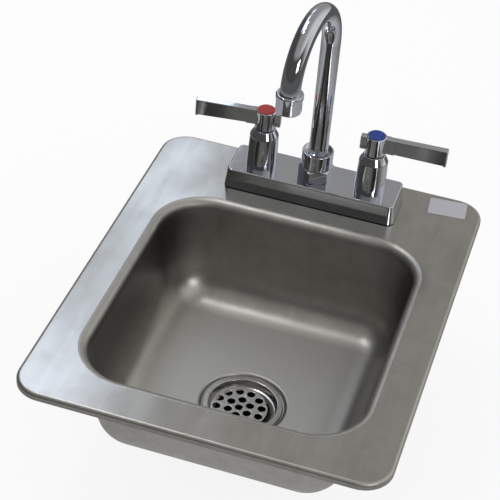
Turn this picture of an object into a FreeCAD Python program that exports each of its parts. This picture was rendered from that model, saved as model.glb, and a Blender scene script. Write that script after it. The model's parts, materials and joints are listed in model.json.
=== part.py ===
import FreeCAD
import Part
import math
import os

# Drop-in hand sink with a two-lever gooseneck tap. Millimetres, +Z up.
# The origin is the rim's centre on the worktop plane. +X is the user's right and -Y faces the user.

# Clearances
FIT = 0.1
RUN = 0.05
LOOSE = 0.3

# How steeply a nut's corners are turned down
HEX_CHAMFER = math.tan(math.radians(30))

# Pressed steel sink
SHEET = 1.2
RIM_WIDTH = 305.0
RIM_LENGTH = 381.0
RIM_HEIGHT = 6.0
RIM_CORNER = 25.0
RIM_BEND = 3.0
SIDE_LEDGE = 36.8
FRONT_LEDGE = 40.2
BACK_LEDGE = 91.5
BOWL_CORNER = 43.0
BOWL_LIP = 8.0
BOWL_DRAFT = math.radians(8.0)
BOWL_DEPTH = 95.0
BOWL_FLOOR_BEND = 30.0
BOWL_WIDTH = RIM_WIDTH - 2 * SIDE_LEDGE
BOWL_LENGTH = RIM_LENGTH - FRONT_LEDGE - BACK_LEDGE
BOWL_Y = (FRONT_LEDGE - BACK_LEDGE) / 2
DECK = RIM_HEIGHT
DECK_UNDER = DECK - SHEET
FLOOR = DECK - BOWL_DEPTH

# Foam strip and clip rails under the rim
SEAL_WIDTH = 8.0
RAIL_INSET = 18.0
RAIL_WIDTH = 9.0
RAIL_HEIGHT = 9.0
RAIL_WALL = 1.0
RAIL_SLOT = 5.4
SIDE_RAIL_ENDS = 19.65
FRONT_RAIL_ENDS = 30.7
BACK_RAIL_ENDS = 37.5
SIDE_RAIL = BOWL_LENGTH - 2 * SIDE_RAIL_ENDS
FRONT_RAIL = BOWL_WIDTH - 2 * FRONT_RAIL_ENDS
BACK_RAIL = RIM_WIDTH - 2 * BACK_RAIL_ENDS

# Blank label on the deck
LABEL_WIDTH = 34.0
LABEL_LENGTH = 24.0
LABEL_THICK = 0.2
LABEL_EDGE = 32.0
LABEL_TURN = 5.0

# Drain
DRAIN_OFFSET = 17.0
DRAIN_Y = BOWL_Y - DRAIN_OFFSET
RECESS_R = 39.6
RECESS_DROP = 3.0
RECESS_UPPER_BEND = 3.0
RECESS_LOWER_BEND = 1.8
FLANGE_R = 34.6
FLANGE_THICK = 2.0
FLANGE_EDGE = 0.8
DISH_R = 29.6
DISH_EDGE = 0.8
DISH_DROP = 5.5
PLATE_R = 24.8
PLATE_THICK = 1.5
PLATE_PLAY = 3.4
PLATE_SHIFT = -3.0
NECK_R = 30.0
OUTLET_R = 24.13
OUTLET_BORE = 20.5
OUTLET_LENGTH = 30.0
FUNNEL = 6.0
PUTTY = 0.8
DRAIN_GASKET = 3.0
DRAIN_WASHER = 1.2
DRAIN_NUT = 7.0
DRAIN_NUT_R = 38.0
DRAIN_NUT_LUGS = 6
DRAIN_SPARE = 3.0
DRAIN_HOLE_R = NECK_R + 2 * LOOSE
STRAINER_HOLE_R = 3.5
STRAINER_PITCH = 9.8
STRAINER_RING_COUNT = 3
NOTCH_R = 1.2
NOTCHES = 3
NOTCH_PHASE = 28.0

# Tap base
VALVE_SPACING = 101.6
TAP_SETBACK = 42.0
TAP_Y = RIM_LENGTH / 2 - TAP_SETBACK
VALVE_X = VALVE_SPACING / 2
BASE_PAD = 0.8
BASE_END = 26.7
BASE_LENGTH = VALVE_SPACING + 2 * BASE_END
BASE_WIDTH = 43.0
BASE_HEIGHT = 18.2
BASE_FLARE = 2.0
BASE_CORNER = 4.5
BASE_EDGE = 1.5
BASE_WALL = 3.0
PAD_INSET = 1.5
BASE_TOP = DECK + BASE_PAD + BASE_HEIGHT
BASE_ROOF = BASE_TOP - BASE_WALL

# Supply shanks
SHANK_R = 11.2
SHANK_BORE = 6.0
SHANK_DROP = 52.0
SUPPLY_R = 10.4
SUPPLY_LENGTH = 25.0
SHANK_HOLE_R = 14.0
SHANK_WASHER_R = 17.0
SHANK_WASHER = 2.5
SHANK_NUT_FLATS = 30.0
SHANK_NUT = 9.0

# Brass waterway
WATERWAY_FOOT = 0.5
SEAT_WALL = 3.0
CHAMBER_WALL = 4.0
CROSS_R = 5.5
CROSS_BORE = 3.5
WATERWAY_BOTTOM = DECK + BASE_PAD + WATERWAY_FOOT
SEAT = WATERWAY_BOTTOM + SEAT_WALL
CROSS_Z = (WATERWAY_BOTTOM + BASE_ROOF) / 2

# Valves
CARTRIDGE_R = 9.0
CHAMBER_R = CARTRIDGE_R + RUN
BOSS_R = CHAMBER_R + CHAMBER_WALL
VALVE_HOLE_GAP = 1.5
CARTRIDGE_LEDGE = 1.5
VALVE_HOLE_R = CARTRIDGE_R + VALVE_HOLE_GAP
CARTRIDGE_FLANGE_R = VALVE_HOLE_R + CARTRIDGE_LEDGE
CARTRIDGE_FLANGE = 3.0
CARTRIDGE_THREAD_R = 10.0
CARTRIDGE_HEIGHT = 23.5
CARTRIDGE_TOP = BASE_TOP + CARTRIDGE_HEIGHT
DISC_R = 7.5
DISC_SLACK = 0.3
DISC = 2.8
SEAT_SEAL = 1.2
PORT_R = 2.0
PORT_RADIUS = 4.2
STEM_R = 4.15
STEM_FOOT = 2.0
STEM_SQUARE = 5.6
STEM_SQUARE_LENGTH = 12.0
STEM_GROOVE = 1.2
STEM_RING_HEIGHT = 12.0
STEM_RING_Z = BASE_TOP + STEM_RING_HEIGHT

# Bonnets
BONNET_R = 14.0
BONNET_SHOULDER_R = 13.0
BONNET_TOP_R = 9.5
BONNET_HEIGHT = 38.0
BONNET_CONE = 6.5
BONNET_TOP = BASE_TOP + BONNET_HEIGHT
BONNET_SHOULDER = BONNET_TOP - BONNET_CONE
BONNET_MOUTH_R = 7.0
BONNET_EDGE = 0.8
BONNET_SHOULDER_EDGE = 2.5

# Lever handles
HANDLE_NECK_R = 6.3
HANDLE_NECK_DEPTH = 5.0
HANDLE_NECK_BOTTOM = BONNET_TOP - HANDLE_NECK_DEPTH
HUB_R = 8.4
HUB_GAP = 0.6
HUB_BOTTOM = BONNET_TOP + HUB_GAP
COLLAR_R = 9.0
COLLAR_HEIGHT = 4.0
HANDLE_HEIGHT = 57.5
HANDLE_TOP = BASE_TOP + HANDLE_HEIGHT
COLLAR_BOTTOM = HANDLE_TOP - COLLAR_HEIGHT
BUTTON_R = 7.7
BUTTON_SINK = 2.8
BUTTON_PROUD = 1.0
BUTTON_EDGE = 0.9
HOT_REST = 5.6
COLD_REST = 2.8
LEVER_REACH = 64.0
LEVER_THICK = 7.0
LEVER_HEIGHT = 15.8
LEVER_ROOT = 14.2
LEVER_STEP = 0.5
LEVER_TOP = HANDLE_TOP - LEVER_STEP
LEVER_CAP = 2.4
LEVER_PANEL = 1.2
LEVER_PANEL_START = 17.0
LEVER_TIP_EDGE = 0.8
LEVER_FLARE = 12.5
FLARE_START = 8.2
LEVER_GUSSET = 3.5
STUB_REACH = 13.8
STUB_HEIGHT = 12.8
STUB_STEP = 1.5
STUB_TOP = LEVER_TOP - STUB_STEP
HANDLE_SCREW_R = 1.9
HANDLE_SCREW_HEAD_R = 3.5
HANDLE_SCREW_HEAD = 2.4
HANDLE_SCREW_GRIP = 2.0
HANDLE_SCREW_LENGTH = 8.0

# Gooseneck spout
TUBE_R = 8.6
TUBE_WALL = 1.2
ARCH_R = 46.5
ARCH_HEIGHT = 159.5
ARCH_Z = DECK + ARCH_HEIGHT
SPOUT_REST = -5.8
ARM_LENGTH = 3.0
TUBE_END = ARCH_Z - ARM_LENGTH
FERRULE_WALL = 1.6
FERRULE_R = TUBE_R + RUN + FERRULE_WALL
SOCKET_BORE = FERRULE_R + RUN
SOCKET_WALL = 1.7
POST_R = SOCKET_BORE + SOCKET_WALL
SOCKET_FLATS = 28.0
SOCKET_HEX = 12.0
SOCKET_TURN = 22.0
SOCKET_FLOOR = 1.5
POST_HEIGHT = 9.0
GLIDE = 1.0
FERRULE_FLANGE = 2.0
SOCKET_HEX_TOP = BASE_TOP + SOCKET_HEX
POST_TOP = SOCKET_HEX_TOP + POST_HEIGHT
FERRULE_BOTTOM = BASE_TOP + SOCKET_FLOOR + LOOSE
FLANGE_Z = POST_TOP + GLIDE + RUN
SPOUT_NUT_WALL = 2.1
SPOUT_NUT_R = POST_R + FIT + SPOUT_NUT_WALL
SPOUT_NUT_LIP = 3.7
SPOUT_NUT_EDGE = 0.8
SPOUT_NUT_RIM = 0.6
SPOUT_NUT_FUNNEL = 2.5
O_RING_GROOVE = 1.0
O_RING_WIDTH = 2.0
O_RING_HEIGHTS = [5.0, 12.0]

# Aerator
AERATOR_R = 11.0
AERATOR_BAND_R = 11.6
AERATOR_BAND = 5.0
AERATOR_OVERLAP = 4.0
AERATOR_TOP = TUBE_END + AERATOR_OVERLAP
AERATOR_LENGTH = 17.5
AERATOR_LIP = 1.5
AERATOR_LIP_R = 8.8
AERATOR_EDGE = 1.5
INSERT_R = 9.7
INSERT_WALL = 1.0
INSERT_FLOOR = 2.0
AERATOR_WASHER = 1.4
JET_R = 0.9
JET_PITCH = 2.55
JET_RING_COUNT = 4

ORIGIN = FreeCAD.Vector(0, 0, 0)
UP = FreeCAD.Vector(0, 0, 1)


class Outline:
    """A closed outline in the XZ plane, drawn with lines and arcs."""

    def __init__(self, x, z):
        self.start = FreeCAD.Vector(x, 0, z)
        self.here = self.start
        self.edges = []

    def line(self, x, z):
        end = FreeCAD.Vector(x, 0, z)
        self.edges.append(Part.makeLine(self.here, end))
        self.here = end
        return self

    def arc(self, centre, radius, first, last):
        def on(angle):
            x = centre[0] + radius * math.cos(angle)
            return FreeCAD.Vector(x, 0, centre[1] + radius * math.sin(angle))

        begin = on(first)
        if begin.distanceToPoint(self.here) > 1e-6:
            self.line(begin.x, begin.z)
        end = on(last)
        self.edges.append(Part.Arc(self.here, on((first + last) / 2), end).toShape())
        self.here = end
        return self

    def face(self):
        self.edges.append(Part.makeLine(self.here, self.start))
        return Part.Face(Part.Wire(self.edges))

    def turned(self):
        return self.face().revolve(ORIGIN, UP, 360)


def moved(shape, x, y, z=0.0):
    out = shape.copy()
    out.translate(FreeCAD.Vector(x, y, z))
    return out


def spun(shape, degrees):
    out = shape.copy()
    out.rotate(ORIGIN, UP, degrees)
    return out


def fused(shapes):
    return shapes[0].multiFuse(shapes[1:]).removeSplitter()


def block(x0, x1, y0, y1, z0, z1):
    return Part.makeBox(x1 - x0, y1 - y0, z1 - z0, FreeCAD.Vector(x0, y0, z0))


def cylinder(radius, z0, z1, x=0.0, y=0.0):
    return Part.makeCylinder(radius, z1 - z0, FreeCAD.Vector(x, y, z0))


def tube(inner, outer, z0, z1):
    return cylinder(outer, z0, z1).cut(cylinder(inner, z0, z1))


def hexagon(flats, z0, z1):
    corner = flats / math.sqrt(3)
    points = []
    for i in range(7):
        angle = math.radians(60 * i)
        points.append(FreeCAD.Vector(corner * math.cos(angle), corner * math.sin(angle), z0))
    return Part.Face(Part.makePolygon(points)).extrude(FreeCAD.Vector(0, 0, z1 - z0))


def chamfered_hexagon(flats, z0, z1):
    """A hexagon whose corners are turned down at both ends."""
    corner = flats / math.sqrt(3)
    lean = corner - flats / 2
    out = Outline(0, z0)
    out.line(flats / 2, z0)
    out.line(corner, z0 + lean * HEX_CHAMFER)
    out.line(corner, z1 - lean * HEX_CHAMFER)
    out.line(flats / 2, z1)
    out.line(0, z1)
    return hexagon(flats, z0, z1).common(out.turned())


def rounded_block(width, length, corner, z0, z1):
    solid = block(-width / 2, width / 2, -length / 2, length / 2, z0, z1)
    upright = [e for e in solid.Edges if abs(e.tangentAt(e.FirstParameter).z) > 0.9]
    return solid.makeFillet(corner, upright)


def flared_block(width, length, corner, flare, z0, z1):
    """A rounded block that widens by the flare on every side towards its bottom."""
    foot = rounded_block(width + 2 * flare, length + 2 * flare, corner + flare, z0, z1)
    top = rounded_block(width, length, corner, z0, z1)
    low = [f for f in foot.Faces if f.BoundBox.ZMax < z0 + 1e-4]
    high = [f for f in top.Faces if f.BoundBox.ZMin > z1 - 1e-4]
    return Part.makeLoft([low[0].OuterWire, high[0].OuterWire], True, True)


def edges_at(shape, z):
    return [e for e in shape.Edges if abs(e.BoundBox.ZMin - z) + abs(e.BoundBox.ZMax - z) < 1e-4]


def around(face, half_width, half_length, corner):
    """Carry a section round a rounded rectangle: straight along the sides, turned at the corners."""
    run_x = half_width - corner
    run_y = half_length - corner
    corners = [(run_x, run_y), (-run_x, run_y), (-run_x, -run_y), (run_x, -run_y)]
    pieces = []
    for i in range(4):
        reach = half_length if i % 2 else half_width
        run = run_x if i % 2 else run_y
        side = moved(face, reach, -run).extrude(FreeCAD.Vector(0, 2 * run, 0))
        pieces.append(spun(side, 90 * i))
        bend = moved(face, corner, 0).revolve(ORIGIN, UP, 90)
        pieces.append(moved(spun(bend, 90 * i), *corners[i]))
    return pieces


def ring_of(radius, count, phase=0.0):
    for i in range(count):
        angle = math.radians(phase + 360.0 * i / count)
        yield radius * math.cos(angle), radius * math.sin(angle)


def filled_circle(pitch, rings):
    """Evenly spread points: one in the middle, then six more in each ring than in the last."""
    for ring in range(rings):
        count = max(1, 6 * ring)
        yield from ring_of(pitch * ring, count, 180 / count)


# Sink

LIP_RUN = BOWL_LIP * (1 - math.sin(BOWL_DRAFT)) / math.cos(BOWL_DRAFT)
WALL_FOOT = BOWL_FLOOR_BEND * (1 - math.sin(BOWL_DRAFT)) - BOWL_DEPTH
FLOOR_RUN = WALL_FOOT * math.tan(BOWL_DRAFT) - BOWL_FLOOR_BEND * math.cos(BOWL_DRAFT)


def bowl_section():
    """Lip roll, drafted wall and floor bend of the sheet, measured from the bowl's opening."""
    lip = (LIP_RUN, DECK - BOWL_LIP)
    foot = (FLOOR_RUN, FLOOR + BOWL_FLOOR_BEND)
    wall = math.pi - BOWL_DRAFT
    out = Outline(LIP_RUN, DECK)
    out.arc(lip, BOWL_LIP, math.pi / 2, wall)
    out.arc(foot, BOWL_FLOOR_BEND, -BOWL_DRAFT, -math.pi / 2)
    out.arc(foot, BOWL_FLOOR_BEND + SHEET, -math.pi / 2, -BOWL_DRAFT)
    out.arc(lip, BOWL_LIP - SHEET, wall, math.pi / 2)
    return out.face()


def rim_section():
    """The rim's turned-down edge, measured from its outside."""
    bend = (-RIM_BEND, DECK - RIM_BEND)
    out = Outline(-RIM_BEND, DECK)
    out.arc(bend, RIM_BEND, math.pi / 2, 0)
    out.line(0, 0)
    out.line(-SHEET, 0)
    out.arc(bend, RIM_BEND - SHEET, 0, math.pi / 2)
    return out.face()


def drain_recess():
    """The pressed step round the drain hole, at constant sheet thickness."""
    both = RECESS_UPPER_BEND + RECESS_LOWER_BEND
    angle = math.acos(1 - RECESS_DROP / both)
    upper = (RECESS_R, FLOOR - RECESS_UPPER_BEND)
    lower = (RECESS_R - both * math.sin(angle), upper[1] + both * math.cos(angle))
    bottom = FLOOR - RECESS_DROP
    out = Outline(RECESS_R, FLOOR)
    out.arc(upper, RECESS_UPPER_BEND, math.pi / 2, math.pi / 2 + angle)
    out.arc(lower, RECESS_LOWER_BEND, angle - math.pi / 2, -math.pi / 2)
    out.line(DRAIN_HOLE_R, bottom)
    out.line(DRAIN_HOLE_R, bottom - SHEET)
    out.arc(lower, RECESS_LOWER_BEND + SHEET, -math.pi / 2, angle - math.pi / 2)
    out.arc(upper, RECESS_UPPER_BEND - SHEET, math.pi / 2 + angle, math.pi / 2)
    return moved(out.turned(), 0, DRAIN_Y)


def sink_basin():
    half_w = BOWL_WIDTH / 2
    half_l = BOWL_LENGTH / 2
    flat = 2 * RIM_BEND
    deck = rounded_block(RIM_WIDTH - flat, RIM_LENGTH - flat, RIM_CORNER - RIM_BEND, DECK_UNDER, DECK)
    mouth_w = BOWL_WIDTH + 2 * LIP_RUN
    mouth_l = BOWL_LENGTH + 2 * LIP_RUN
    mouth = rounded_block(mouth_w, mouth_l, BOWL_CORNER + LIP_RUN, DECK_UNDER, DECK)
    deck = deck.cut(moved(mouth, 0, BOWL_Y))
    floor_w = BOWL_WIDTH + 2 * FLOOR_RUN
    floor_l = BOWL_LENGTH + 2 * FLOOR_RUN
    floor = rounded_block(floor_w, floor_l, BOWL_CORNER + FLOOR_RUN, FLOOR - SHEET, FLOOR)
    floor = moved(floor, 0, BOWL_Y).cut(cylinder(RECESS_R, FLOOR - SHEET, FLOOR, 0, DRAIN_Y))
    pieces = [moved(p, 0, BOWL_Y) for p in around(bowl_section(), half_w, half_l, BOWL_CORNER)]
    pieces += around(rim_section(), RIM_WIDTH / 2, RIM_LENGTH / 2, RIM_CORNER)
    basin = fused([deck, floor, drain_recess()] + pieces)
    for x in (-VALVE_X, VALVE_X):
        basin = basin.cut(cylinder(SHANK_HOLE_R, DECK_UNDER, DECK, x, TAP_Y))
    return basin


def rim_seal():
    inset = RIM_BEND + LOOSE
    outer = rounded_block(RIM_WIDTH - 2 * inset, RIM_LENGTH - 2 * inset, RIM_CORNER - inset, 0, DECK_UNDER)
    inset += SEAL_WIDTH
    inner = rounded_block(RIM_WIDTH - 2 * inset, RIM_LENGTH - 2 * inset, RIM_CORNER - inset, 0, DECK_UNDER)
    return outer.cut(inner)


def blank_label():
    half_w = LABEL_WIDTH / 2
    half_l = LABEL_LENGTH / 2
    plate = block(-half_w, half_w, -half_l, half_l, DECK, DECK + LABEL_THICK)
    return moved(spun(plate, LABEL_TURN), RIM_WIDTH / 2 - LABEL_EDGE, TAP_Y + LABEL_LENGTH)


# Clip rails: each lies along its own Y with its outward side at +X

RAIL_BOTTOM = DECK_UNDER - RAIL_HEIGHT
RAIL_LIP = RAIL_BOTTOM + RAIL_WALL


def rail_layout():
    """Each rail's outward direction, distance from the origin, shift along itself and length."""
    side = RIM_WIDTH / 2 - RAIL_INSET
    end = RIM_LENGTH / 2 - RAIL_INSET
    return [(0, side, BOWL_Y, SIDE_RAIL), (180, side, -BOWL_Y, SIDE_RAIL),
            (90, end, 0, BACK_RAIL), (270, end, 0, FRONT_RAIL)]


def rail(length):
    half = RAIL_WIDTH / 2
    inner = half - RAIL_WALL
    solid = block(-half, half, -length / 2, length / 2, RAIL_BOTTOM, DECK_UNDER)
    solid = solid.cut(block(-inner, inner, -length / 2, length / 2, RAIL_LIP, DECK_UNDER - RAIL_WALL))
    return solid.cut(block(-RAIL_SLOT / 2, RAIL_SLOT / 2, -length / 2, length / 2, RAIL_BOTTOM, RAIL_LIP))


def clip_rails():
    return [spun(moved(rail(length), reach, shift), turn) for turn, reach, shift, length in rail_layout()]


# Drain

RECESS_FLOOR = FLOOR - RECESS_DROP
FLANGE_UNDER = RECESS_FLOOR + PUTTY
FLANGE_TOP = FLANGE_UNDER + FLANGE_THICK
PLATE_SEAT = FLANGE_TOP - DISH_DROP - PLATE_THICK
SINK_UNDER = RECESS_FLOOR - SHEET
DRAIN_WASHER_TOP = SINK_UNDER - DRAIN_GASKET
DRAIN_NUT_TOP = DRAIN_WASHER_TOP - DRAIN_WASHER
DRAIN_NUT_BOTTOM = DRAIN_NUT_TOP - DRAIN_NUT
NECK_BOTTOM = DRAIN_NUT_BOTTOM - DRAIN_SPARE
OUTLET_TOP = NECK_BOTTOM - FUNNEL
OUTLET_BOTTOM = OUTLET_TOP - OUTLET_LENGTH
DRAIN_GASKET_R = FLANGE_R


def drain_body():
    pocket = PLATE_R + PLATE_PLAY
    out = Outline(OUTLET_BORE, OUTLET_BOTTOM)
    out.line(OUTLET_R, OUTLET_BOTTOM)
    out.line(OUTLET_R, OUTLET_TOP)
    out.line(NECK_R, NECK_BOTTOM)
    out.line(NECK_R, FLANGE_UNDER)
    out.line(FLANGE_R, FLANGE_UNDER)
    out.arc((FLANGE_R - FLANGE_EDGE, FLANGE_TOP - FLANGE_EDGE), FLANGE_EDGE, 0, math.pi / 2)
    out.arc((DISH_R + DISH_EDGE, FLANGE_TOP - DISH_EDGE), DISH_EDGE, math.pi / 2, math.pi)
    out.line(pocket, FLANGE_TOP - DISH_DROP)
    out.line(pocket, PLATE_SEAT)
    out.line(OUTLET_BORE, PLATE_SEAT)
    return moved(out.turned(), 0, DRAIN_Y)


def strainer_plate():
    plate = cylinder(PLATE_R, PLATE_SEAT, PLATE_SEAT + PLATE_THICK)
    for x, y in filled_circle(STRAINER_PITCH, STRAINER_RING_COUNT):
        plate = plate.cut(cylinder(STRAINER_HOLE_R, PLATE_SEAT, PLATE_SEAT + PLATE_THICK, x, y))
    for x, y in ring_of(PLATE_R, NOTCHES, NOTCH_PHASE):
        plate = plate.cut(cylinder(NOTCH_R, PLATE_SEAT, PLATE_SEAT + PLATE_THICK, x, y))
    return moved(plate, PLATE_SHIFT, DRAIN_Y)


def drain_locknut():
    nut = tube(NECK_R + FIT, DRAIN_NUT_R, DRAIN_NUT_BOTTOM, DRAIN_NUT_TOP)
    notch_r = (DRAIN_NUT_R - NECK_R) / 2
    for x, y in ring_of(DRAIN_NUT_R + notch_r / 2, DRAIN_NUT_LUGS):
        nut = nut.cut(cylinder(notch_r, DRAIN_NUT_BOTTOM, DRAIN_NUT_TOP, x, y))
    return moved(nut, 0, DRAIN_Y)


def drain_ring(z0, z1):
    return moved(tube(NECK_R + LOOSE, DRAIN_GASKET_R, z0, z1), 0, DRAIN_Y)


def drain_putty():
    return moved(tube(DRAIN_HOLE_R, FLANGE_R - LOOSE, RECESS_FLOOR, FLANGE_UNDER), 0, DRAIN_Y)


# Tap base and supplies

def at_valves(shape):
    return [moved(shape, -VALVE_X, TAP_Y), moved(shape, VALVE_X, TAP_Y)]


def base_pad():
    reach = BASE_FLARE - PAD_INSET
    length = BASE_LENGTH + 2 * reach
    pad = rounded_block(length, BASE_WIDTH + 2 * reach, BASE_CORNER + reach, DECK, DECK + BASE_PAD)
    pad = moved(pad, 0, TAP_Y)
    for hole in at_valves(cylinder(SHANK_HOLE_R, DECK, DECK + BASE_PAD)):
        pad = pad.cut(hole)
    return pad


def faucet_base():
    bottom = DECK + BASE_PAD
    shell = flared_block(BASE_LENGTH, BASE_WIDTH, BASE_CORNER, BASE_FLARE, bottom, BASE_TOP)
    shell = shell.makeFillet(BASE_EDGE, edges_at(shell, BASE_TOP))
    cut = 2 * BASE_WALL
    inner = BASE_CORNER - BASE_WALL
    hollow = flared_block(BASE_LENGTH - cut, BASE_WIDTH - cut, inner, BASE_FLARE, bottom, BASE_ROOF)
    shell = moved(shell.cut(hollow), 0, TAP_Y)
    for hole in at_valves(cylinder(VALVE_HOLE_R, BASE_ROOF, BASE_TOP)):
        shell = shell.cut(hole)
    return shell.cut(cylinder(SOCKET_BORE, BASE_ROOF, BASE_TOP, 0, TAP_Y))


def waterway():
    pieces = at_valves(cylinder(BOSS_R, WATERWAY_BOTTOM, BASE_ROOF))
    pieces.append(cylinder(SOCKET_BORE + BASE_WALL, WATERWAY_BOTTOM, BASE_ROOF, 0, TAP_Y))
    along = FreeCAD.Vector(1, 0, 0)
    start = FreeCAD.Vector(-VALVE_X, TAP_Y, CROSS_Z)
    pieces.append(Part.makeCylinder(CROSS_R, VALVE_SPACING, start, along))
    body = fused(pieces)
    holes = at_valves(cylinder(CHAMBER_R, SEAT, BASE_ROOF))
    holes += at_valves(cylinder(SHANK_BORE, WATERWAY_BOTTOM, SEAT))
    for hole in holes:
        body = body.cut(hole)
    body = body.cut(cylinder(SHANK_BORE, SEAT, BASE_ROOF, 0, TAP_Y))
    return body.cut(Part.makeCylinder(CROSS_BORE, VALVE_SPACING, start, along))


def supply_shank():
    end = DECK - SHANK_DROP
    upper = tube(SHANK_BORE, SHANK_R, end + SUPPLY_LENGTH, WATERWAY_BOTTOM)
    return upper.fuse(tube(SHANK_BORE, SUPPLY_R, end, end + SUPPLY_LENGTH)).removeSplitter()


def shank_washers():
    return at_valves(tube(SHANK_R + LOOSE, SHANK_WASHER_R, DECK_UNDER - SHANK_WASHER, DECK_UNDER))


def shank_nuts():
    top = DECK_UNDER - SHANK_WASHER
    nut = chamfered_hexagon(SHANK_NUT_FLATS, top - SHANK_NUT, top)
    return at_valves(nut.cut(cylinder(SHANK_R + FIT, top - SHANK_NUT, top)))


# Valves: built on their own axis with the lever towards +X

FIXED_DISC = SEAT + SEAT_SEAL
TURNING_DISC = FIXED_DISC + DISC + RUN
STEM_BOTTOM = TURNING_DISC + DISC
CHAMBER_TOP = STEM_BOTTOM + STEM_FOOT + DISC_SLACK
SCREW_SEAT = HANDLE_TOP - BUTTON_SINK - HANDLE_SCREW_HEAD - LOOSE
STEM_TOP = SCREW_SEAT - HANDLE_SCREW_GRIP


def cartridge():
    out = Outline(DISC_R + DISC_SLACK, FIXED_DISC)
    out.line(CARTRIDGE_R, FIXED_DISC)
    out.line(CARTRIDGE_R, BASE_TOP)
    out.line(CARTRIDGE_FLANGE_R, BASE_TOP)
    out.line(CARTRIDGE_FLANGE_R, BASE_TOP + CARTRIDGE_FLANGE)
    out.line(CARTRIDGE_THREAD_R, BASE_TOP + CARTRIDGE_FLANGE)
    out.line(CARTRIDGE_THREAD_R, CARTRIDGE_TOP)
    out.line(STEM_R + RUN, CARTRIDGE_TOP)
    out.line(STEM_R + RUN, CHAMBER_TOP)
    out.line(DISC_R + DISC_SLACK, CHAMBER_TOP)
    body = out.turned()
    port = FreeCAD.Vector(0, 0, STEM_BOTTOM)
    return body.cut(Part.makeCylinder(PORT_R, CARTRIDGE_R + FIT, port, FreeCAD.Vector(-1, 0, 0)))


def seat_seal():
    return tube(SHANK_BORE, CARTRIDGE_R - LOOSE, SEAT, FIXED_DISC)


def ceramic_disc(bottom, radius, phase):
    disc = cylinder(radius, bottom, bottom + DISC)
    for x, y in ring_of(PORT_RADIUS, 2, phase):
        disc = disc.cut(cylinder(PORT_R, bottom, bottom + DISC, x, y))
    return disc


def stem():
    square = STEM_SQUARE / 2
    flat = STEM_TOP - STEM_SQUARE_LENGTH
    foot = cylinder(DISC_R - LOOSE, STEM_BOTTOM, STEM_BOTTOM + STEM_FOOT)
    drive = block(-square, square, -square, square, flat, STEM_TOP)
    shaft = fused([cylinder(STEM_R, STEM_BOTTOM, flat), foot, drive])
    low = STEM_RING_Z - STEM_GROOVE / 2
    groove = tube(STEM_R - STEM_GROOVE, STEM_R, low, low + STEM_GROOVE)
    return shaft.cut(groove).cut(cylinder(HANDLE_SCREW_R + FIT, STEM_TOP - HANDLE_SCREW_LENGTH, STEM_TOP))


def stem_ring():
    section = STEM_GROOVE / 2 - RUN / 2
    return moved(Part.makeTorus(STEM_R - STEM_GROOVE / 2, section), 0, 0, STEM_RING_Z)


def bonnet():
    out = Outline(BONNET_R, BASE_TOP)
    out.line(BONNET_SHOULDER_R, BONNET_SHOULDER)
    out.line(BONNET_TOP_R, BONNET_TOP)
    out.line(BONNET_MOUTH_R, BONNET_TOP)
    out.line(BONNET_MOUTH_R, CARTRIDGE_TOP + LOOSE)
    out.line(CARTRIDGE_THREAD_R + FIT, CARTRIDGE_TOP + LOOSE)
    out.line(CARTRIDGE_THREAD_R + FIT, BASE_TOP + CARTRIDGE_FLANGE + LOOSE)
    out.line(CARTRIDGE_FLANGE_R + LOOSE, BASE_TOP + CARTRIDGE_FLANGE + LOOSE)
    out.line(CARTRIDGE_FLANGE_R + LOOSE, BASE_TOP)
    shell = out.turned()
    shell = shell.makeFillet(BONNET_SHOULDER_EDGE, edges_at(shell, BONNET_SHOULDER))
    return shell.makeFillet(BONNET_EDGE, edges_at(shell, BONNET_TOP))


def lever_blade():
    half = LEVER_THICK / 2
    bottom = LEVER_TOP - LEVER_HEIGHT
    out = Outline(0, LEVER_TOP - LEVER_ROOT)
    out.line(LEVER_REACH, bottom).line(LEVER_REACH, LEVER_TOP).line(0, LEVER_TOP)
    blade = moved(out.face(), 0, -half).extrude(FreeCAD.Vector(0, LEVER_THICK, 0))
    tip = [e for e in blade.Edges if e.BoundBox.XMin > LEVER_REACH - 1e-4]
    long_edges = [e for e in edges_at(blade, LEVER_TOP) if e.BoundBox.XLength > LEVER_HEIGHT]
    blade = blade.makeFillet(LEVER_TIP_EDGE, tip + long_edges)
    for side in (-1, 1):
        skin = sorted([side * half, side * (half - LEVER_PANEL)])
        panel_end = LEVER_REACH - LEVER_CAP
        panel = block(LEVER_PANEL_START, panel_end, skin[0], skin[1], bottom, LEVER_TOP - LEVER_CAP)
        blade = blade.cut(panel)
    return blade


def lever_gusset():
    """A small web that rounds the blade's underside into the hub."""
    half = LEVER_THICK / 2 - LEVER_PANEL
    bottom = LEVER_TOP - LEVER_ROOT
    edge = HUB_R + LEVER_GUSSET
    out = Outline(0, bottom)
    out.line(0, bottom - LEVER_GUSSET)
    out.arc((edge, bottom - LEVER_GUSSET), LEVER_GUSSET, math.pi, math.pi / 2)
    return moved(out.face(), 0, -half).extrude(FreeCAD.Vector(0, 2 * half, 0))


def lever_flare():
    """The collar's top drawn out into the blade."""
    half = LEVER_THICK / 2
    start = FLARE_START
    side = math.sqrt(COLLAR_R ** 2 - start ** 2)
    corners = [(0, -side), (start, -side), (LEVER_FLARE, -half)]
    corners += [(LEVER_FLARE, half), (start, side), (0, side)]
    points = [FreeCAD.Vector(x, y, COLLAR_BOTTOM) for x, y in corners + corners[:1]]
    return Part.Face(Part.makePolygon(points)).extrude(FreeCAD.Vector(0, 0, LEVER_TOP - COLLAR_BOTTOM))


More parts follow.
